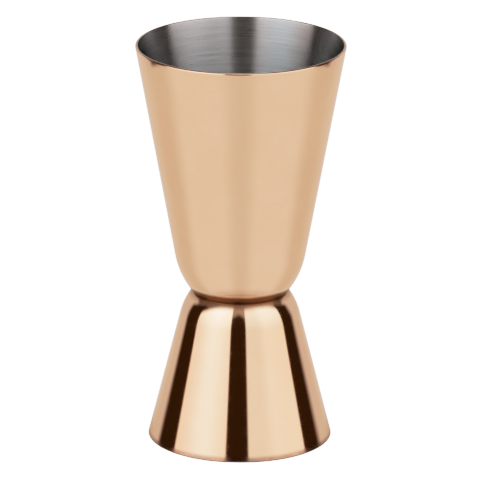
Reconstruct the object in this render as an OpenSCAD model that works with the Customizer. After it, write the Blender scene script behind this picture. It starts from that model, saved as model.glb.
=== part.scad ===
// Double-ended bar jigger: two drawn stainless cups, spot welded base to base,
// then copper plated on the outside. Origin at the centre of the small rim, which
// is the standing face; +Z runs up the common axis to the large rim. Millimetres.

/* [Overall] */
// Height from the small rim to the large rim
total_h = 89; // [80:0.5:110]
// Height of the joint between the two cups above the small rim
neck_h = 33.4; // [28:0.1:40]
// Outside diameter where the outlines of the two cups cross at the neck
neck_d = 21; // [19:0.1:23]

/* [Large cup] */
// Outside diameter of the large rim
large_rim_d = 46; // [43:0.1:50]
// Slope of the large cup's wall from the axis, degrees
large_taper = 10.4; // [9.5:0.1:11.5]
// Outside radius of the bowl that turns the large wall in to the base
large_bowl_r = 18; // [15:0.5:20]

/* [Small cup] */
// Outside diameter of the small rim
small_rim_d = 40.4; // [38:0.1:43]
// Slope of the small cup's wall from the axis, degrees
small_taper = 14.1; // [13:0.1:15]
// Outside radius of the shoulder that turns the small wall in to the base
small_bowl_r = 14.5; // [12:0.5:17]

/* [Sheet and plating] */
// Thickness of the stainless sheet
sheet_t = 0.55; // [0.4:0.05:0.7]
// Thickness of the copper plate
plate_t = 0.05; // [0.04:0.01:0.08]
// Outside radius of the press corner at each base, over the plate
corner_r = 1.1; // [0.9:0.1:1.4]
// Outside rounding of each rim, over the plate
lip_r = 0.3; // [0.2:0.05:0.35]
// Inside rounding of each steel rim
lip_in_r = 0.1; // [0.05:0.05:0.15]

/* [Spot welds] */
// Number of weld nuggets
weld_n = 3; // [2:1:4]
// Radius of the circle that the nuggets stand on
weld_circle_r = 5; // [4:0.1:5.5]
// Diameter of each nugget at the joint
weld_d = 3.2; // [2.4:0.1:3.6]
// Depth of each nugget into either sheet
weld_depth = 0.3; // [0.2:0.02:0.36]
// Diameter of the electrode's mark on each inside floor
mark_d = 4.2; // [3.6:0.1:4.6]
// Depth of the electrode's mark
mark_depth = 0.08; // [0.04:0.01:0.12]

/* [Hidden] */
$fn = 180;
BOWL_STEP = 2;        // degrees between points on the bowl arcs
EDGE_STEP = 6;        // degrees between points on the small roundings
GROOVE_SKIP = 2;      // points of the press corner left bare inside the groove
JOINT_GAP = 0.01;     // points of the plate's face this near the joint are dropped
FEATHER_LOSS = 0.7;   // share of the plate's thickness lost at its feathered tip
MARK_MARGIN = 0.2;    // reach of the mark's cutter past its edge and either side of the floor

wall_t = sheet_t + plate_t;

COPPER = [0.85, 0.58, 0.42];
STEEL = [0.66, 0.66, 0.65];
WELD_GREY = [0.55, 0.55, 0.56];

// A cup is described in its own frame: base plane of the steel at 0, rim at its height.
// cup = [height, rim radius, taper, bowl radius]
LARGE = [total_h - neck_h, large_rim_d / 2, large_taper, large_bowl_r];
SMALL = [neck_h, small_rim_d / 2, small_taper, small_bowl_r];
function height(cup) = cup[0];
function rim_r(cup) = cup[1];
function taper(cup) = cup[2];
function bowl_r(cup) = cup[3];

// Which way a cup points from the joint.
UP = 1;
DOWN = -1;

// Profile points are [radius, z]. In the functions below, depth is the distance
// inside the finished surface.

// Points on an arc from one angle to another, in degrees.
function arc(centre, r, from, to, step) =
    let (n = max(2, ceil(abs(to - from) / step)))
    [for (i = [0:n]) let (a = from + (to - from) * i / n) centre + r * [cos(a), sin(a)]];

function reversed(points) = [for (i = [len(points) - 1:-1:0]) points[i]];

// From a cup's own frame to the part's.
function placed(points, side) = [for (p = points) [p[0], neck_h + side * p[1]]];

// Radius at height z of the straight wall, or of its line carried on.
function wall_r(cup, z, depth) =
    rim_r(cup) - (height(cup) - z) * tan(taper(cup)) - depth / cos(taper(cup));

// Centre of the bowl arc: tangent to the wall line and passing through the neck circle.
// Its height is the upper root of a * z^2 - 2 * b * z + c = 0.
function bowl_centre(cup) =
    let (slope = tan(taper(cup)),
         offset = neck_d / 2 - wall_r(cup, 0, bowl_r(cup)),
         a = 1 + slope * slope,
         b = slope * offset,
         c = offset * offset - bowl_r(cup) * bowl_r(cup),
         z = (b + sqrt(b * b - a * c)) / a)
    [wall_r(cup, z, bowl_r(cup)), z];

// Centre of the press corner: tangent to the bowl arc and to the base plane.
function corner_centre(cup) =
    let (bowl = bowl_centre(cup),
         z = corner_r - plate_t,
         reach = bowl_r(cup) - corner_r)
    [bowl[0] + sqrt(reach * reach - pow(bowl[1] - z, 2)), z];

// Angle below the horizontal at which the press corner runs into the bowl arc.
function corner_end(cup) =
    let (to_corner = corner_centre(cup) - bowl_centre(cup))
    atan2(-to_corner[1], to_corner[0]);

// Centres of the outside and inside roundings of the rim.
function lip_centre(cup) =
    let (z = height(cup) - lip_r)
    [wall_r(cup, z, lip_r), z];
function lip_in_centre(cup) =
    let (z = height(cup) - plate_t - lip_in_r)
    [wall_r(cup, z, wall_t - lip_in_r), z];

// Press corner and bowl, from the base up to the straight wall, leaving out the
// first few points of the corner.
function corner_and_bowl(cup, depth, skip = 0) =
    let (end = corner_end(cup),
         corner = arc(corner_centre(cup), corner_r - depth, -90, -end, EDGE_STEP))
    concat([for (i = [skip:len(corner) - 1]) corner[i]],
           arc(bowl_centre(cup), bowl_r(cup) - depth, -end + BOWL_STEP, -taper(cup), BOWL_STEP));

// Outside of a cup from the base up to the flat of the rim.
function outside(cup, depth, skip = 0) =
    concat(corner_and_bowl(cup, depth, skip),
           arc(lip_centre(cup), lip_r - depth, -taper(cup), 90, EDGE_STEP));

// Inside rounding of the steel rim, from its flat to the inside wall.
function lip_inside(cup) = arc(lip_in_centre(cup), lip_in_r, 90, 180 - taper(cup), EDGE_STEP);

// Inside of a steel cup from the rim's flat down to the floor's edge.
function inside(cup) = concat(lip_inside(cup), reversed(corner_and_bowl(cup, wall_t)));

// The finished surface starts where it meets the joint plane, in the bottom of the groove.
function plate_face(cup) =
    let (corner = corner_centre(cup),
         start_r = corner[0] + sqrt(corner_r * corner_r - corner[1] * corner[1]))
    concat([[start_r, 0]], [for (p = outside(cup, 0)) if (p[1] > JOINT_GAP) p]);

// The plate's feathered end: its thickness falls off over the inside rounding of the rim.
function feather(cup) =
    let (sweep = 90 - taper(cup), n = ceil(sweep / EDGE_STEP))
    [for (i = [0:n])
        let (a = 90 + sweep * i / n,
             r = lip_in_r + plate_t * (1 - FEATHER_LOSS * i / n))
        lip_in_centre(cup) + r * [cos(a), sin(a)]];

// Section of one cup's plate: up its face to the feathered tip, then back along the steel.
function plate_section(cup) =
    concat(plate_face(cup), feather(cup), reversed(lip_inside(cup)),
           reversed(outside(cup, plate_t, GROOVE_SKIP)));

// Radius of the sphere whose cap has this diameter and depth.
function cap_r(d, depth) = (d * d / 4 + depth * depth) / (2 * depth);

// Puts its child at every weld, with the joint plane at its z = 0.
module at_welds() {
    for (i = [0:weld_n - 1])
        rotate([0, 0, 360 / weld_n * i])
            translate([weld_circle_r, 0, neck_h])
                children();
}

// One lens-shaped nugget, half in each sheet.
module nugget() {
    r = cap_r(weld_d, weld_depth);
    intersection() {
        translate([0, 0, r - weld_depth]) sphere(r = r);
        translate([0, 0, weld_depth - r]) sphere(r = r);
    }
}

// Shallow dish pressed into a floor by the welding electrode.
module electrode_mark() {
    r = cap_r(mark_d, mark_depth);
    intersection() {
        translate([0, 0, sheet_t - mark_depth + r]) sphere(r = r);
        translate([0, 0, sheet_t - MARK_MARGIN])
            cylinder(d = mark_d + 2 * MARK_MARGIN, h = 2 * MARK_MARGIN);
    }
}

// Steel sheet of one cup, with pockets for the weld nuggets and the electrode marks.
module steel_cup(cup, side) {
    section = concat([[0, 0]], outside(cup, plate_t), inside(cup), [[0, sheet_t]]);
    difference() {
        rotate_extrude() polygon(placed(section, side));
        at_welds() nugget();
        at_welds() mirror([0, 0, side == UP ? 0 : 1]) electrode_mark();
    }
}

// Larger measure, open end up.
module large_cup() { color(STEEL) steel_cup(LARGE, UP); }

// Smaller measure, open end down: its rim is the foot.
module small_cup() { color(STEEL) steel_cup(SMALL, DOWN); }

// Nuggets that join the two bases.
module spot_welds() { color(WELD_GREY) at_welds() nugget(); }

// One continuous copper skin over the outside of both cups and round both rims.
module copper_plating() {
    color(COPPER) rotate_extrude()
        polygon(concat(placed(plate_section(LARGE), UP),
                       reversed(placed(plate_section(SMALL), DOWN))));
}

large_cup();
small_cup();
spot_welds();
copper_plating();
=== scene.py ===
"""A double-ended bar measure: two flared steel cups joined base to base by three spot welds.

The axis is Z. The large cup opens upwards and the small one opens downwards and stands on its
rim. A copper plate covers the outside of both. The main camera looks along +Y from in front.
"""
import math
from functools import reduce

import bmesh
import bpy
from mathutils import Matrix, Vector
from mathutils.geometry import delaunay_2d_cdt


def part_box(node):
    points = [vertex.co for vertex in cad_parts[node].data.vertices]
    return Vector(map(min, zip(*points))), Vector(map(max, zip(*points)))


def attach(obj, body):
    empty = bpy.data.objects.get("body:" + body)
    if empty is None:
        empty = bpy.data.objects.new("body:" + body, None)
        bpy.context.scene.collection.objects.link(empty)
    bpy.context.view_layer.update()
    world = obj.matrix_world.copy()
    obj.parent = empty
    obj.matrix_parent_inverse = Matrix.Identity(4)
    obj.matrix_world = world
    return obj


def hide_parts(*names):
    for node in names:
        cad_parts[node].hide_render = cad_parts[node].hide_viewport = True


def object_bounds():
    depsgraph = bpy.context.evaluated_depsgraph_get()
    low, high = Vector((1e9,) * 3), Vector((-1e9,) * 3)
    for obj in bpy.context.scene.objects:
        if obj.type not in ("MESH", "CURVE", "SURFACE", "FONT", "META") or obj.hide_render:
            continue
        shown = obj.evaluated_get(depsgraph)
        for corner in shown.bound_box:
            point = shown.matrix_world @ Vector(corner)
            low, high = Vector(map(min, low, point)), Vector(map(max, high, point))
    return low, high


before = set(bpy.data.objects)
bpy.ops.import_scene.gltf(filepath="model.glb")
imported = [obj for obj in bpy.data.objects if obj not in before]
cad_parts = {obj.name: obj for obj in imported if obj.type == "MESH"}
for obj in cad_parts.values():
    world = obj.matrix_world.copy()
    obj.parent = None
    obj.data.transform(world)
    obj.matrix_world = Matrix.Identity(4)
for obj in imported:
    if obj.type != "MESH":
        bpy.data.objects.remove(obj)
cad_lo, cad_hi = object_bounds()

# --------------------------------------------------------------------------------------
# Sizes, in drawing millimetres (the whole is 89 high), with z = 0 at the plane it stands on
# --------------------------------------------------------------------------------------
plate_lo, plate_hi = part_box("copper_plating")
large_lo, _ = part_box("large_cup")
weld_lo, weld_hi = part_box("spot_welds")

TOTAL_H = 89.0
UNIT = (plate_hi.z - plate_lo.z) / TOTAL_H  # metres per drawing millimetre
STAND_Z = plate_lo.z                        # metres
NECK_H = (large_lo.z - STAND_Z) / UNIT      # joint plane between the two bases
NECK_R = 10.5                               # where the bowl's circle meets the joint plane
PLATE = 0.05                                # thickness of the copper
SHEET = 0.55                                # thickness of the steel
CORNER_R = 1.1                              # outer corner between base and bowl
LIP_R = 0.3                                 # outer rounding of the rim
LIP_IN_R = 0.1                              # inner rounding of the rim
WELD_COUNT = 3
WELD_PITCH_R = 5.0
WELD_R = 1.6
WELD_DEPTH = (weld_hi.z - weld_lo.z) / 2 / UNIT
MARK_R = 2.1                                # dish over each weld, on the cup's floor
MARK_DEPTH = 0.08

AXIS_STEPS = 288                            # round the axis
WALL_STEPS = 26                             # points along the straight wall
SPOT_STEPS = 60                             # round each weld
SPOT_LEVELS = 7                             # from a weld's edge to its middle
GRID_PITCH = 0.62                           # triangular grid on the flat floors
GRID_ROW = 0.866                            # row spacing, as a share of the pitch
EDGE_GAP = 0.3                              # grid points keep this far inside the edge
SPOT_GAP = 0.28                             # and this far from a weld's edge

SPOTS = [
    (
        WELD_PITCH_R * math.cos(2 * math.pi * i / WELD_COUNT),
        WELD_PITCH_R * math.sin(2 * math.pi * i / WELD_COUNT),
    )
    for i in range(WELD_COUNT)
]


# --------------------------------------------------------------------------------------
# Outlines, as (radius, height) points
# --------------------------------------------------------------------------------------
def arc(centre, radius, start, end, step):
    """Points from angle `start` to `end`, no more than `step` degrees apart."""
    count = max(2, math.ceil(abs(end - start) / step))
    angles = [math.radians(start + (end - start) * i / count) for i in range(count + 1)]
    return [(centre[0] + radius * math.cos(a), centre[1] + radius * math.sin(a)) for a in angles]


def wall(start, end):
    """The points strictly between the two ends of the straight wall."""
    shares = [i / (WALL_STEPS + 1) for i in range(1, WALL_STEPS + 1)]
    return [
        (start[0] + (end[0] - start[0]) * share, start[1] + (end[1] - start[1]) * share)
        for share in shares
    ]


class Cup:
    """One cup in its own frame: the steel's base plane at 0, the rim at `height`.

    `taper` is the wall's lean in degrees; `side` is 1 if the cup opens upwards, -1 if down.
    """

    def __init__(self, height, rim_radius, taper, bowl_radius, side):
        self.height = height
        self.rim_radius = rim_radius
        self.taper = taper
        self.bowl_radius = bowl_radius
        self.side = side
        # the bowl's circle touches the wall and passes through (NECK_R, 0): a quadratic in z
        slope = math.tan(math.radians(taper))
        foot = rim_radius - height * slope - bowl_radius / math.cos(math.radians(taper))
        square = 1 + slope * slope
        half_linear = slope * (NECK_R - foot)
        constant = (NECK_R - foot) ** 2 - bowl_radius ** 2
        z = (half_linear + math.sqrt(half_linear ** 2 - square * constant)) / square
        self.bowl = (foot + slope * z, z)
        # the corner's circle touches the bowl's from inside, and the plated base plane
        corner_z = CORNER_R - PLATE
        apart = bowl_radius - CORNER_R
        self.corner = (self.bowl[0] + math.sqrt(apart ** 2 - (z - corner_z) ** 2), corner_z)
        self.corner_angle = math.degrees(math.atan2(z - corner_z, self.corner[0] - self.bowl[0]))

    def wall_radius(self, z, depth):
        lean = math.radians(self.taper)
        return self.rim_radius - (self.height - z) * math.tan(lean) - depth / math.cos(lean)

    def outside(self, depth):
        """Base plane to the flat of the rim, `depth` inside the finished surface."""
        lip = (self.wall_radius(self.height - LIP_R, LIP_R), self.height - LIP_R)
        corner = arc(self.corner, CORNER_R - depth, -90, -self.corner_angle, 5)
        bowl = arc(self.bowl, self.bowl_radius - depth, -self.corner_angle, -self.taper, 1.5)
        rim = arc(lip, LIP_R - depth, -self.taper, 90, 9)
        return corner + bowl[1:] + wall(bowl[-1], rim[0]) + rim

    def inside(self):
        """Flat of the rim down to the edge of the floor, on the steel's inner face."""
        depth = PLATE + SHEET
        rim = arc(self.inner_lip(), LIP_IN_R, 90, 180 - self.taper, 10)
        bowl = arc(self.bowl, self.bowl_radius - depth, -self.taper, -self.corner_angle, 1.5)
        corner = arc(self.corner, CORNER_R - depth, -self.corner_angle, -90, 6)
        return rim + wall(rim[-1], bowl[0]) + bowl + corner[1:]

    def inner_lip(self):
        """Centre of the rim's inner rounding."""
        z = self.height - PLATE - LIP_IN_R
        return (self.wall_radius(z, PLATE + SHEET - LIP_IN_R), z)

    def place(self, points):
        return [(radius, NECK_H + self.side * z) for radius, z in points]


large = Cup(height=TOTAL_H - NECK_H, rim_radius=23.0, taper=10.4, bowl_radius=18.0, side=1)
small = Cup(height=NECK_H, rim_radius=20.2, taper=14.1, bowl_radius=14.5, side=-1)


# --------------------------------------------------------------------------------------
# Meshes
# --------------------------------------------------------------------------------------
def circle(mesh, radius, z, steps=AXIS_STEPS, centre=(0.0, 0.0)):
    angles = [2 * math.pi * i / steps for i in range(steps)]
    return [
        mesh.verts.new((centre[0] + radius * math.cos(a), centre[1] + radius * math.sin(a), z))
        for a in angles
    ]


def neighbours(loop):
    return zip(loop, loop[1:] + loop[:1])


def bridge(mesh, first, second):
    for (a, a_next), (b, b_next) in zip(neighbours(first), neighbours(second)):
        mesh.faces.new((a, a_next, b_next, b))


def fan(mesh, loop, tip):
    for a, a_next in neighbours(loop):
        mesh.faces.new((a, a_next, tip))


def dish_depth(radius, depth, reach):
    """How deep a round dish is at `reach` from its middle; a slice of a sphere."""
    ball = (radius ** 2 + depth ** 2) / (2 * depth)
    return math.sqrt(ball * ball - reach * reach) - (ball - depth)


def near_spot(x, y, reach):
    return any(math.hypot(x - spot_x, y - spot_y) < reach for spot_x, spot_y in SPOTS)


def disc(mesh, edge, z, spot_radius, depth, side):
    """A flat disc inside the loop `edge`, with a shallow round dish at each weld."""
    rims = [circle(mesh, spot_radius, z, SPOT_STEPS, spot) for spot in SPOTS]
    given, links = [], []
    for loop in [edge, *rims]:
        start = len(given)
        links += [(start + i, start + (i + 1) % len(loop)) for i in range(len(loop))]
        given += loop
    edge_radius = math.hypot(edge[0].co.x, edge[0].co.y)
    rows = int(edge_radius / (GRID_PITCH * GRID_ROW)) + 1
    for row in range(-rows, rows + 1):
        for column in range(-rows, rows + 1):
            x = (column + 0.5 * (row % 2)) * GRID_PITCH
            y = row * GRID_PITCH * GRID_ROW
            if math.hypot(x, y) > edge_radius - EDGE_GAP:
                continue
            if near_spot(x, y, spot_radius + SPOT_GAP):
                continue
            given.append(mesh.verts.new((x, y, z)))
    coords = [Vector((v.co.x, v.co.y)) for v in given]
    found, _, triangles, origin, _, _ = delaunay_2d_cdt(coords, links, [], 0, 1e-7)
    for triangle in triangles:
        x = sum(found[i].x for i in triangle) / 3
        y = sum(found[i].y for i in triangle) / 3
        if near_spot(x, y, spot_radius) or math.hypot(x, y) > edge_radius:
            continue
        mesh.faces.new([given[origin[i][0]] for i in triangle])
    for spot, last in zip(SPOTS, rims):
        for level in range(1, SPOT_LEVELS):
            reach = spot_radius * (1 - level / SPOT_LEVELS)
            level_z = z + side * dish_depth(spot_radius, depth, reach)
            loop = circle(mesh, reach, level_z, SPOT_STEPS, spot)
            bridge(mesh, last, loop)
            last = loop
        fan(mesh, last, mesh.verts.new((*spot, z + side * depth)))


def make_object(mesh, name):
    data = bpy.data.meshes.new(name)
    mesh.to_mesh(data)
    mesh.free()
    made = bpy.data.objects.new(name, data)
    bpy.context.scene.collection.objects.link(made)
    return made


def finish_mesh(mesh, name, sharp_degrees=35):
    """Scales from the drawing to the frame, orients the faces outwards and shades smooth."""
    bmesh.ops.recalc_face_normals(mesh, faces=mesh.faces)
    scale = Matrix.Diagonal((UNIT, UNIT, UNIT, 1))
    to_frame = Matrix.Translation((0, 0, STAND_Z)) @ scale
    bmesh.ops.transform(mesh, matrix=to_frame, verts=mesh.verts)
    limit = math.radians(sharp_degrees)
    for edge in mesh.edges:
        edge.smooth = len(edge.link_faces) == 2 and edge.calc_face_angle(0) < limit
    for face in mesh.faces:
        face.smooth = True
    return make_object(mesh, name)


def steel_shell(cup, name):
    mesh = bmesh.new()
    outline = cup.place(cup.outside(PLATE) + cup.inside())
    rings = [circle(mesh, radius, z) for radius, z in outline]
    for first, second in zip(rings, rings[1:]):
        bridge(mesh, first, second)
    disc(mesh, rings[0], NECK_H, WELD_R, WELD_DEPTH, cup.side)
    disc(mesh, rings[-1], NECK_H + cup.side * SHEET, MARK_R, MARK_DEPTH, -cup.side)
    return finish_mesh(mesh, name)


def plate_outline(cup):
    """Joint plane, out and up to the rim, over it, and back along the steel."""
    start_r = cup.corner[0] + math.sqrt(CORNER_R ** 2 - cup.corner[1] ** 2)
    face = [(start_r, 0.0)] + [point for point in cup.outside(0) if point[1] > 0.01]
    # over the inner lip the plate thins to 0.3 of its thickness
    lip = cup.inner_lip()
    steps = 10
    feather = []
    for i in range(steps + 1):
        angle = math.radians(90 + (90 - cup.taper) * i / steps)
        radius = LIP_IN_R + PLATE * (1 - 0.7 * i / steps)
        feather.append((lip[0] + radius * math.cos(angle), lip[1] + radius * math.sin(angle)))
    under = arc(lip, LIP_IN_R, 180 - cup.taper, 90, 10)
    # stops short of the base, 0.19 outside the corner's centre
    back = [point for point in reversed(cup.outside(PLATE)) if point[0] > cup.corner[0] + 0.19]
    return face + feather + under + back


def plate_skin(name):
    """One closed skin over both cups, through the groove and round both rims."""
    outline = large.place(plate_outline(large)) + small.place(plate_outline(small)[1:])[::-1]
    mesh = bmesh.new()
    rings = [circle(mesh, radius, z) for radius, z in outline]
    for first, second in neighbours(rings):
        bridge(mesh, first, second)
    return finish_mesh(mesh, name)


def nuggets(name):
    """The three lens-shaped welds, filling the dishes in the two bases."""
    mesh = bmesh.new()
    for spot in SPOTS:
        loops = []
        for level in range(1 - SPOT_LEVELS, SPOT_LEVELS):
            reach = WELD_R * (1 - abs(level) / SPOT_LEVELS)
            bulge = math.copysign(dish_depth(WELD_R, WELD_DEPTH, reach), level) if level else 0.0
            loops.append(circle(mesh, reach, NECK_H + bulge, SPOT_STEPS, spot))
        bottom = mesh.verts.new((*spot, NECK_H - WELD_DEPTH))
        top = mesh.verts.new((*spot, NECK_H + WELD_DEPTH))
        for first, second in zip(loops, loops[1:]):
            bridge(mesh, first, second)
        fan(mesh, loops[0][::-1], bottom)
        fan(mesh, loops[-1], top)
    return finish_mesh(mesh, name, sharp_degrees=20)


large_shell = steel_shell(large, "large_cup_shell")
small_shell = steel_shell(small, "small_cup_shell")
skin = plate_skin("copper_plate_skin")
welds = nuggets("spot_weld_nuggets")

# --------------------------------------------------------------------------------------
# Node graphs
# --------------------------------------------------------------------------------------
DEGREES = 180 / math.pi


class Signal:
    """A node's output. Arithmetic on it adds math nodes to its graph."""

    def __init__(self, graph, socket):
        self.graph = graph
        self.socket = socket

    def __add__(self, other):
        return self.graph.math("ADD", self, other)

    def __sub__(self, other):
        return self.graph.math("SUBTRACT", self, other)

    def __rsub__(self, other):
        return self.graph.math("SUBTRACT", other, self)

    def __mul__(self, other):
        return self.graph.math("MULTIPLY", self, other)

    def __truediv__(self, other):
        return self.graph.math("DIVIDE", self, other)

    def __abs__(self):
        return self.graph.math("ABSOLUTE", self)

    def least(self, other):
        return self.graph.math("MINIMUM", self, other)

    def most(self, other):
        return self.graph.math("MAXIMUM", self, other)

    def ease(self, start, end, first=0.0, last=1.0, kind="SMOOTHSTEP"):
        """Goes from `first` to `last` as the signal goes from `start` to `end`."""
        inputs = dict(enumerate((self, start, end, first, last)))
        return self.graph.add("ShaderNodeMapRange", inputs, interpolation_type=kind)

    def fall(self, start, end):
        return self.ease(start, end, first=1.0, last=0.0)

    def line(self, start, end, first=0.0, last=1.0):
        return self.ease(start, end, first, last, kind="LINEAR")

    def mix(self, off, on):
        """The colour `off` where the signal is 0, `on` where it is 1."""
        inputs = {"Factor": self, 6: off, 7: on}
        return self.graph.add("ShaderNodeMix", inputs, outputs=2, data_type="RGBA")


class Graph:
    """Adds nodes to a tree. Any input may be a number, a colour or a Signal."""

    def __init__(self, tree):
        self.tree = tree
        tree.nodes.clear()

    def add(self, kind, inputs=None, outputs=0, **settings):
        """Gives the Signal of one output, or a list of them if `outputs` is a tuple."""
        node = self.tree.nodes.new(kind)
        for key, value in settings.items():
            setattr(node, key, value)
        for key, value in (inputs or {}).items():
            self.feed(node.inputs[key], value)
        if isinstance(outputs, tuple):
            return [Signal(self, node.outputs[key]) for key in outputs]
        return Signal(self, node.outputs[outputs])

    def feed(self, socket, value):
        if isinstance(value, Signal):
            self.tree.links.new(value.socket, socket)
        elif isinstance(value, tuple) and socket.type == "RGBA":
            socket.default_value = (*value, 1.0)
        else:
            socket.default_value = value

    def math(self, operation, a, b=0.0, c=0.0):
        return self.add("ShaderNodeMath", {0: a, 1: b, 2: c}, operation=operation)

    def distance(self, x, y):
        return self.math("SQRT", x * x + y * y)

    def azimuth(self, x, y):
        """Radians from -Y, growing towards +X."""
        return self.math("ARCTAN2", x, y * -1.0)

    def xyz(self, x, y, z):
        return self.add("ShaderNodeCombineXYZ", {"X": x, "Y": y, "Z": z})

    def split(self, vector):
        return self.add("ShaderNodeSeparateXYZ", {"Vector": vector}, outputs=(0, 1, 2))

    def noise(self, vector, scale=1.0, detail=2.0, rough=0.5):
        inputs = {"Vector": vector, "Scale": scale, "Detail": detail, "Roughness": rough}
        return self.add("ShaderNodeTexNoise", inputs)

    def surface(self, shader):
        self.add("ShaderNodeOutputMaterial", {"Surface": shader}, outputs=())


def layered(colour, *layers):
    """Lays (mask, colour) pairs over a colour, in order."""
    for mask, over in layers:
        colour = mask.mix(off=colour, on=over)
    return colour


def material(name):
    made = bpy.data.materials.new(name)
    made.use_nodes = True
    return made, Graph(made.node_tree)


def drawing_place(graph):
    """The place in drawing millimetres, as a vector and as x, y and height above the stand."""
    coords = graph.add("ShaderNodeTexCoord", outputs="Object")
    inputs = {0: coords, "Scale": 1 / UNIT}
    place = graph.add("ShaderNodeVectorMath", inputs, operation="SCALE")
    x, y, z = graph.split(place)
    return place, x, y, z - STAND_Z / UNIT


def polar(graph, x, y):
    """The radius, and the (cosine, sine) of the angle round the axis."""
    radius = graph.distance(x, y)
    divisor = radius.most(0.05)
    return radius, (x / divisor, y / divisor)


def turned_noise(heading, position, around, along, detail, rough):
    """Noise scaled by `around` round the axis and by `along` in step with `position`."""
    graph = position.graph
    vector = graph.xyz(heading[0] * around, heading[1] * around, position * along)
    return graph.noise(vector, detail=detail, rough=rough)


def metal(graph, colour, rough, height, bump_strength=1.0, **extra):
    """Output through a metallic shader; `height` is relief in drawing millimetres."""
    relief = {"Strength": bump_strength, "Distance": UNIT, "Height": height}
    normal = graph.add("ShaderNodeBump", relief)
    inputs = {"Base Color": colour, "Metallic": 1.0, "Roughness": rough, "Normal": normal}
    inputs.update({key.replace("_", " "): value for key, value in extra.items()})
    graph.surface(graph.add("ShaderNodeBsdfPrincipled", inputs))


def hairlines(graph, place, heading, z):
    """Hairline scratches in two directions."""
    scratches = []
    for turn, seed in ((0.7, 3.0), (-0.5, 11.0)):
        across = heading[0] * 14.0 + z * turn
        along = heading[1] * 14.0 + z * -turn
        vector = graph.xyz(across * 0.25, along * 7.0, z * 0.35 + seed)
        middle = abs(graph.noise(vector, detail=1.0, rough=0.4) - 0.5)
        line = middle.fall(start=0.0, end=0.006)
        patches = graph.noise(place, scale=0.21 + 0.02 * seed, detail=1.0, rough=0.5)
        scratches.append(line * patches.ease(start=0.60, end=0.70))
    return reduce(Signal.most, scratches)


def copper_plate():
    made, graph = material("polished_copper_plate")
    place, x, y, z = drawing_place(graph)
    radius, heading = polar(graph, x, y)
    # along the outline: height and radius together move steadily from rim to rim
    position = z - radius * 0.15

    # lines of the buffing wheel, running round the cup
    fine = turned_noise(heading, position, around=1.3, along=9.0, detail=3.0, rough=0.6)
    coarse = turned_noise(heading, position, around=0.7, along=1.4, detail=2.0, rough=0.5)
    # clouds in the plate's colour and in its polish
    cloud = graph.noise(place, scale=0.075, detail=3.0, rough=0.55)
    haze = graph.noise(place, scale=0.28, detail=4.0, rough=0.6)
    scratch = hairlines(graph, place, heading, z)

    # worn rims, where it is set down and poured from
    from_rim = z.least(TOTAL_H - z)
    patchy = turned_noise(heading, z, around=9.0, along=0.5, detail=3.0, rough=0.6)
    rim = from_rim.fall(start=0.10, end=0.55) * patchy.ease(start=0.32, end=0.62, first=0.25)
    bare = from_rim.fall(start=0.02, end=0.13) * patchy.ease(start=0.35, end=0.60, first=0.6)
    # the plating stops at the lip's inner edge, so that side of the lip is steel
    lip_width = 0.36
    lip_edge = z.line(0.0, TOTAL_H, small.rim_radius - lip_width, large.rim_radius - lip_width)
    inner = (radius - lip_edge).fall(start=-0.04, end=0.06)
    bare = bare.most(inner * from_rim.fall(start=0.3, end=0.5))
    # ring round the foot: its dark colour is a painted reflection of the shadowed floor under the
    # lip, and its polish is dulled where it is stood and slid about on the bar
    foot = (z + (patchy - 0.5) * 0.35).fall(start=0.65, end=1.60)
    foot = foot * patchy.ease(start=0.25, end=0.60, first=0.7)
    # painted shade down in the waist between the cups, with a ragged upper edge, fainter below
    # the joint; the polish is duller there too
    waist = z - NECK_H
    below_edge = (waist + (haze - 0.5) * 0.5).fall(start=1.20, end=2.10)
    faint = waist.ease(start=-1.5, end=0.0) * 0.55
    groove = below_edge * waist.ease(start=-0.15, end=0.10).most(faint)
    # painted highlight: a paler, lighter band just above the joint
    sheen_above_joint = waist.ease(start=0.9, end=1.7) * waist.fall(start=2.0, end=2.9)

    clouded = cloud.ease(start=0.35, end=0.65)
    colour = layered(
        clouded.mix(off=(0.850, 0.530, 0.332), on=(0.868, 0.552, 0.350)),
        (haze.ease(start=0.45, end=0.75) * 0.35, (0.838, 0.512, 0.322)),
        (fine.ease(start=0.40, end=0.62) * 0.18, (0.890, 0.590, 0.385)),
        (rim * 0.35, (0.870, 0.640, 0.450)),
        (bare * 0.88, (0.400, 0.345, 0.298)),
        # painted dark reflection round the foot
        (foot * 0.85, (0.300, 0.200, 0.138)),
        # painted highlight above the joint
        (sheen_above_joint * 0.40, (0.78, 0.63, 0.50)),
        # painted shade in the groove between the cups
        (groove * 0.97, (0.150, 0.068, 0.028)),
    )
    # the polish, and how much each mark dulls it
    rough = (
        coarse.line(start=0.3, end=0.7, first=0.045, last=0.075)
        + haze.ease(start=0.48, end=0.8) * 0.03
        + fine.ease(start=0.45, end=0.7) * 0.012
        + rim * 0.10
        + foot * 0.10
        + groove * 0.25
        + scratch * 0.10
    )
    # relief of each mark, in millimetres
    height = (
        fine * 0.00022
        + coarse * 0.0006
        - scratch * 0.0008
        + rim * patchy * 0.004
        + groove * haze * 0.01
    )
    metal(graph, colour, rough, height, Specular_Tint=(0.95, 0.87, 0.77))
    return made


def heat_tint(graph, x, y):
    """A ring round each weld."""
    rings = []
    for spot_x, spot_y in SPOTS:
        reach = graph.distance(x - spot_x, y - spot_y)
        rings.append(reach.ease(start=1.5, end=2.1) * reach.fall(start=2.2, end=3.0))
    return reduce(Signal.most, rings)


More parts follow.
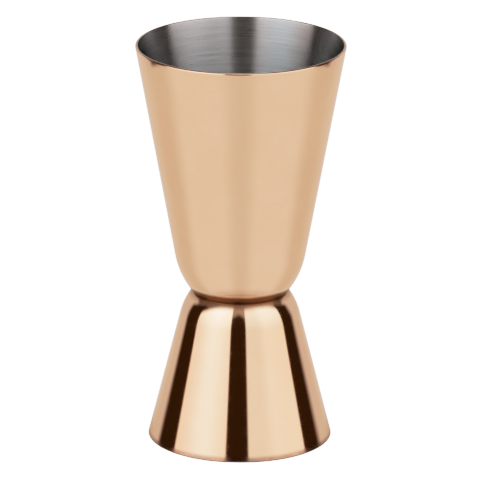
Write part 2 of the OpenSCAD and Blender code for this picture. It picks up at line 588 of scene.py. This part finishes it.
def satin_steel(name, cup):
    """Turned satin stainless."""
    made, graph = material(name)
    place, x, y, z = drawing_place(graph)
    radius, heading = polar(graph, x, y)
    position = z * cup.side + radius  # grows from the floor's centre to the rim

    # brush lines, from the finest to the broadest
    hair = turned_noise(heading, position, around=1.1, along=13.0, detail=2.0, rough=0.65)
    grain = turned_noise(heading, position, around=2.6, along=4.2, detail=3.0, rough=0.6)
    band = turned_noise(heading, position, around=1.0, along=0.75, detail=2.0, rough=0.5)
    cloud = graph.noise(place, scale=0.16, detail=3.0, rough=0.55)

    tint = heat_tint(graph, x, y)
    on_floor = ((z - NECK_H) * cup.side).fall(start=0.60, end=0.80)
    tint = tint * on_floor * cloud.ease(start=0.30, end=0.60, first=0.5)
    # darker and duller in the corner where the floor meets the wall
    corner = on_floor * radius.ease(start=8.8, end=10.2)
    rim = abs((z - NECK_H) * cup.side - cup.height).fall(start=0.05, end=0.55)
    # painted shade: rays that have already bounced see the steel much darker, standing in for the
    # shade deep inside the cup
    bounce_shade = graph.add("ShaderNodeLightPath", outputs="Ray Depth").least(1.0)

    grained = grain.ease(start=0.35, end=0.65)
    colour = layered(
        grained.mix(off=(0.480, 0.490, 0.478), on=(0.565, 0.580, 0.565)),
        (hair.ease(start=0.45, end=0.70) * 0.45, (0.600, 0.615, 0.600)),
        (band.ease(start=0.45, end=0.70) * 0.35, (0.405, 0.415, 0.408)),
        (tint * 0.55, (0.40, 0.29, 0.16)),
        (corner * 0.45, (0.26, 0.26, 0.25)),
        (rim * 0.4, (0.56, 0.56, 0.55)),
        # painted shade for bounced rays
        (bounce_shade * 0.60, (0.030, 0.022, 0.016)),
    )
    # the satin, duller in the corner and smoother at the rim
    rough = (
        grain.line(start=0.3, end=0.7, first=0.27, last=0.36)
        + (hair - 0.5) * 0.12
        + corner * 0.12
        - rim * 0.10
    )
    # relief of the brush lines, in millimetres
    height = hair * 0.0030 + grain * 0.0045 + band * 0.004
    metal(
        graph, colour, rough, height,
        Anisotropic=0.94,
        Anisotropic_Rotation=0.25,
        Specular_Tint=(0.22, 0.22, 0.22),
        Tangent=graph.add("ShaderNodeTangent", direction_type="RADIAL", axis="Z"),
    )
    return made


def weld_metal():
    """Remelted metal of the welds."""
    made, graph = material("weld_nugget_metal")
    place, _, _, z = drawing_place(graph)
    cell_inputs = {"Vector": place, "Scale": 3.2}
    cells = graph.add("ShaderNodeTexVoronoi", cell_inputs, outputs="Distance", feature="F1")
    cast = graph.noise(place, scale=1.7, detail=4.0, rough=0.6)
    crust = abs(z - NECK_H).ease(start=0.10, end=0.28)
    mottle = cast.ease(start=0.35, end=0.65)
    colour = layered(
        mottle.mix(off=(0.44, 0.44, 0.45), on=(0.56, 0.555, 0.55)),
        (crust * 0.5, (0.38, 0.31, 0.24)),
    )
    rough = cast.line(start=0.3, end=0.7, first=0.38, last=0.58)
    height = cells * 0.02 + cast * 0.01  # relief, in millimetres
    metal(graph, colour, rough, height, bump_strength=0.8)
    return made


skin.data.materials.append(copper_plate())
large_shell.data.materials.append(satin_steel("satin_stainless_large", large))
small_shell.data.materials.append(satin_steel("satin_stainless_small", small))
welds.data.materials.append(weld_metal())

for piece, cad_name, slot_name in (
    (skin, "copper_plating", "copper_plate"),
    (large_shell, "large_cup", "brushed_stainless"),
    (small_shell, "small_cup", "brushed_stainless"),
    (welds, "spot_welds", "weld_metal"),
):
    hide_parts(cad_name)
    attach(piece, "root")

# --------------------------------------------------------------------------------------
# Stage: pale floor, and a studio tent of soft windows with dark gaps between them.
# Azimuth 0 is the camera's side (-Y), positive to its right (+X). Angles are in degrees.
# --------------------------------------------------------------------------------------
CAMERA_WHITE = (2.3, 2.3, 2.3)  # what the camera sees directly of floor and tent
BACK_SHEET = (0.84, 0.76, 0.79)
# metres; the first is the hole under the foot
FLOOR_RADII = (0.0192, 0.030, 0.050, 0.080, 0.13, 0.20, 0.40, 0.80, 1.6, 3.2, 6.0)
FLOOR_STEPS = 96
FLOOR_DROP = 0.00002            # metres below the foot


def floor_glow(radius, turn, camera_ray):
    """What the metal sees of the floor: painted light, brighter ahead and dimmer to the sides and
    back, and a painted shadow, darker and warmer, close to the foot.
    """
    near = radius.fall(start=19.5 * UNIT, end=33.0 * UNIT)
    nearest = radius.fall(start=20.2 * UNIT, end=21.4 * UNIT)
    ahead = turn.ease(start=2.0, end=28.0)
    return layered(
        # painted light: brighter ahead, dimmer to the sides and behind
        ahead.mix(off=(0.800, 0.720, 0.700), on=(0.955, 0.875, 0.880)),
        (turn.ease(start=72.0, end=100.0), (0.765, 0.668, 0.632)),
        (turn.ease(start=112.0, end=138.0), (0.820, 0.745, 0.745)),
        # painted contact shadow round the foot, darkest at its edge
        (near * 0.42, (0.300, 0.200, 0.150)),
        (nearest * 0.45, (0.070, 0.045, 0.030)),
        (camera_ray, CAMERA_WHITE),
    )


def pale_floor():
    made, graph = material("pale_floor")
    camera_ray = graph.add("ShaderNodeLightPath", outputs="Is Camera Ray")
    incoming, normal, backfacing = graph.add(
        "ShaderNodeNewGeometry", outputs=("Incoming", "Normal", "Backfacing")
    )
    place = graph.add("ShaderNodeTexCoord", outputs="Object")
    x, y, _ = graph.split(place)
    radius = graph.distance(x, y)
    turn = abs(graph.azimuth(x, y)) * DEGREES

    mottle = graph.noise(place, scale=40.0, detail=3.0, rough=0.5).ease(start=0.3, end=0.7)
    tone = mottle.mix(off=(0.895, 0.893, 0.890), on=(0.905, 0.905, 0.905))
    matt = graph.add("ShaderNodeBsdfDiffuse", {"Color": tone})
    blank = graph.add("ShaderNodeEmission", {"Color": (0.0, 0.0, 0.0), "Strength": 0.0})
    dim = graph.add("ShaderNodeMixShader", {"Fac": 0.20, 1: blank, 2: matt})
    # painted light and shadow on the floor, as the metal sees it
    glow = floor_glow(radius, turn, camera_ray)
    lift = graph.add("ShaderNodeEmission", {"Color": glow, "Strength": 1.0})
    base = graph.add("ShaderNodeAddShader", {0: dim, 1: lift})

    # at grazing angles it lets rays through, so the metal sees the panels' feet instead
    facing = graph.add(
        "ShaderNodeVectorMath", {0: incoming, 1: normal}, outputs="Value", operation="DOT_PRODUCT"
    )
    skim = abs(facing).fall(start=0.10, end=0.25)
    # it ends at the foot of the panels, all round but for the back
    beyond = radius.ease(start=0.185, end=0.205) * turn.fall(start=124.0, end=134.0)
    beyond = beyond.most(skim) * (1.0 - camera_ray)
    hidden = (backfacing * camera_ray).most(beyond)
    clear = graph.add("ShaderNodeBsdfTransparent")
    graph.surface(graph.add("ShaderNodeMixShader", {0: hidden, 1: base, 2: clear}))
    return made


def make_floor():
    """A wide pale disc with a hole under the foot, so the foot's inside is lit from below."""
    mesh = bmesh.new()
    z = cad_lo.z - FLOOR_DROP
    rings = [circle(mesh, radius, z, FLOOR_STEPS) for radius in FLOOR_RADII]
    for inner, outer in zip(rings, rings[1:]):
        for (a, a_next), (b, b_next) in zip(neighbours(inner), neighbours(outer)):
            mesh.faces.new((a, b, b_next, a_next))  # faces up
    floor = make_object(mesh, "floor")
    floor.data.materials.append(pale_floor())


def off(azimuth, centre):
    """Degrees from `centre`, between -180 and 180."""
    return azimuth.graph.math("WRAP", azimuth - centre, 180.0, -180.0)


def hump(azimuth, centre, width):
    """1 at `centre`, falling to 0 at `width` to either side."""
    return abs(off(azimuth, centre)).fall(start=0.0, end=width)


def panel(azimuth, elevation, first, last, soft_first, soft_last, facing, top, soft_top):
    """Mask of a flat upright panel between two azimuths, with a level top edge.

    `facing` is the azimuth of its nearest point, where the top edge stands `top` degrees up.
    The `soft` values are half the widths over which its edges fade.
    """
    graph = azimuth.graph
    half = (last - first) / 2
    across = off(azimuth, (first + last) / 2)
    sides = across.ease(-half - soft_first, -half + soft_first) * across.fall(
        half - soft_last, half + soft_last
    )
    lean = graph.math("COSINE", off(azimuth, facing) * (math.pi / 180))
    rise = lean.most(0.05) * math.tan(math.radians(top))
    limit = graph.math("ARCTANGENT", rise) * DEGREES
    return sides * (elevation - limit).fall(-soft_top, soft_top)


def tent_roof(azimuth, elevation):
    """The tent's dark gaps, the brow over them and its dim roof with a bright crown."""
    turn = abs(azimuth)
    front = hump(azimuth, centre=0.0, width=66.0)
    # the gaps close under a brow that comes down towards the back
    arch = abs(off(azimuth, -3.0)).ease(start=0.0, end=16.0, first=38.0, last=31.5)
    over = elevation - arch.least(33.0 - (turn - 86.0) * 0.53)
    reach = front * 2.1 + 3.4
    brow = over.ease(reach * -1.0, reach)
    low_back = turn.ease(start=103.0, end=115.0) * elevation.fall(start=21.0, end=26.0)
    high_back = turn.ease(start=100.0, end=112.0) * elevation.ease(start=22.0, end=28.0)
    right_end = azimuth.fall(start=86.0, end=96.0) * elevation.ease(start=31.0, end=35.0)
    overhead = layered(
        low_back.mix(off=(0.235, 0.160, 0.128), on=BACK_SHEET),
        (high_back, (0.10, 0.060, 0.040)),
        (azimuth.ease(start=58.0, end=68.0) * right_end, (0.50, 0.38, 0.33)),
        (front, (0.46, 0.40, 0.375)),
    )
    gap = brow.mix(off=(0.033, 0.014, 0.003), on=overhead)
    rightward = off(azimuth, 0.0).ease(start=-20.0, end=40.0)
    roof = layered(
        rightward.mix(off=(0.30, 0.20, 0.16), on=(0.36, 0.24, 0.18)),
        (turn.ease(start=92.0, end=112.0), (0.05, 0.036, 0.028)),
    )
    middle = hump(azimuth, centre=-3.0, width=26.0)
    high = middle.mix(off=(0.07, 0.05, 0.04), on=(0.90, 0.76, 0.70))
    return layered(
        gap,
        (elevation.ease(start=43.0, end=54.0), roof),
        (elevation.ease(start=56.0, end=68.0), high),
        (elevation.ease(start=67.0, end=80.0), (2.10, 2.05, 2.02)),
    )


def windows(azimuth, elevation):
    """(mask, colour) of the camera's left and right windows, bluer towards their tops."""
    rise = elevation.line(start=4.0, end=36.0)
    foot_hump = hump(azimuth, centre=-50.0, width=34.0)
    left_foot = foot_hump.mix(off=(1.62, 1.28, 1.24), on=(1.84, 1.64, 1.78))
    top_hump = hump(azimuth, centre=-50.0, width=36.0)
    left_top = top_hump.mix(off=(2.20, 2.10, 2.16), on=(2.45, 2.85, 3.05))
    outer = azimuth.ease(start=30.0, end=52.0)
    right_foot = outer.mix(off=(1.20, 1.10, 1.08), on=(1.63, 1.33, 1.30))
    right_top = outer.mix(off=(1.75, 1.66, 1.76), on=(2.05, 2.10, 2.30))
    left_mask = panel(
        azimuth, elevation, first=-88.1, last=-17.6, soft_first=2.0, soft_last=1.6,
        facing=-18.0, top=46.8, soft_top=6.0,
    )
    right_mask = panel(
        azimuth, elevation, first=11.2, last=88.3, soft_first=2.0, soft_last=2.0,
        facing=27.0, top=46.8, soft_top=6.5,
    )
    return (
        (left_mask, rise.mix(off=left_foot, on=left_top)),
        (right_mask, rise.mix(off=right_foot, on=right_top)),
    )


def back_sheet(azimuth, elevation):
    """Mask of the curved sheet behind the cups, with a level top."""
    across = off(azimuth, 178.5)
    start_edge = across + elevation.line(start=2.0, end=11.0, first=0.0, last=2.5)
    end_edge = across - elevation.line(start=5.0, end=13.0, first=0.0, last=1.5)
    sides = start_edge.ease(start=-66.5, end=-52.5) * end_edge.fall(start=54.0, end=65.5)
    return sides * elevation.fall(start=21.0, end=26.0)


def studio_world():
    world = bpy.data.worlds.new("studio_tent")
    bpy.context.scene.world = world
    world.use_nodes = True
    graph = Graph(world.node_tree)
    x, y, z = graph.split(graph.add("ShaderNodeTexCoord", outputs="Generated"))
    azimuth = graph.azimuth(x, y) * DEGREES
    elevation = graph.math("ARCSINE", z.most(-1.0).least(1.0)) * DEGREES
    sky = layered(
        tent_roof(azimuth, elevation),
        *windows(azimuth, elevation),
        (back_sheet(azimuth, elevation), BACK_SHEET),
        # under the floor's level: only the foot's inside sees it
        (elevation.ease(start=-42.0, end=-50.0), (0.85, 0.85, 0.85)),
        (graph.add("ShaderNodeLightPath", outputs="Is Camera Ray"), CAMERA_WHITE),
    )
    background = graph.add("ShaderNodeBackground", {"Color": sky, "Strength": 1.0})
    graph.add("ShaderNodeOutputWorld", {"Surface": background}, outputs=())


make_floor()
studio_world()

# --------------------------------------------------------------------------------------
# Camera: a long lens, looking slightly down
# --------------------------------------------------------------------------------------
CAMERA_ELEVATION = math.radians(17.66)
CAMERA_ROLL = math.radians(0.20)
CAMERA_DISTANCE = 15.707992  # in heights of the product


def make_camera():
    data = bpy.data.cameras.new("camera")
    data.sensor_width = 36.0
    data.lens = 479.6
    data.clip_start = 0.05
    data.clip_end = 50.0
    data.shift_x = -0.00058333
    data.shift_y = 0.00083333
    camera = bpy.data.objects.new("camera", data)
    bpy.context.scene.collection.objects.link(camera)
    height = cad_hi.z - cad_lo.z
    target = Vector((0.0, 0.0, cad_lo.z + height / 2))
    outward = Vector((0.0, -math.cos(CAMERA_ELEVATION), math.sin(CAMERA_ELEVATION)))
    roll = Matrix.Rotation(CAMERA_ROLL, 3, "Z").to_quaternion()
    camera.rotation_mode = "QUATERNION"
    camera.rotation_quaternion = (-outward).to_track_quat("-Z", "Y") @ roll
    camera.location = target + outward * (height * CAMERA_DISTANCE)
    bpy.context.scene.camera = camera


make_camera()

# Exposure is plain up to a half, then rolls off to white: (scene value, shown value)
SHOULDER = (
    (0.25, 0.25), (0.50, 0.498), (0.5865, 0.565), (0.70, 0.638), (0.84, 0.716),
    (0.91, 0.753), (1.05, 0.812), (1.343, 0.896), (1.70, 0.940), (1.975, 0.965),
)
WHITE_POINT = (2.20, 1.0)

view = bpy.context.scene.view_settings
view.view_transform = "Standard"
view.look = "None"
view.exposure = 0.0
view.gamma = 1.0
view.use_curve_mapping = True
mapping = view.curve_mapping
mapping.use_clip = False
combined = mapping.curves[3]
combined.points[1].location = WHITE_POINT
for scene_value, shown_value in SHOULDER:
    combined.points.new(scene_value, shown_value)
mapping.update()
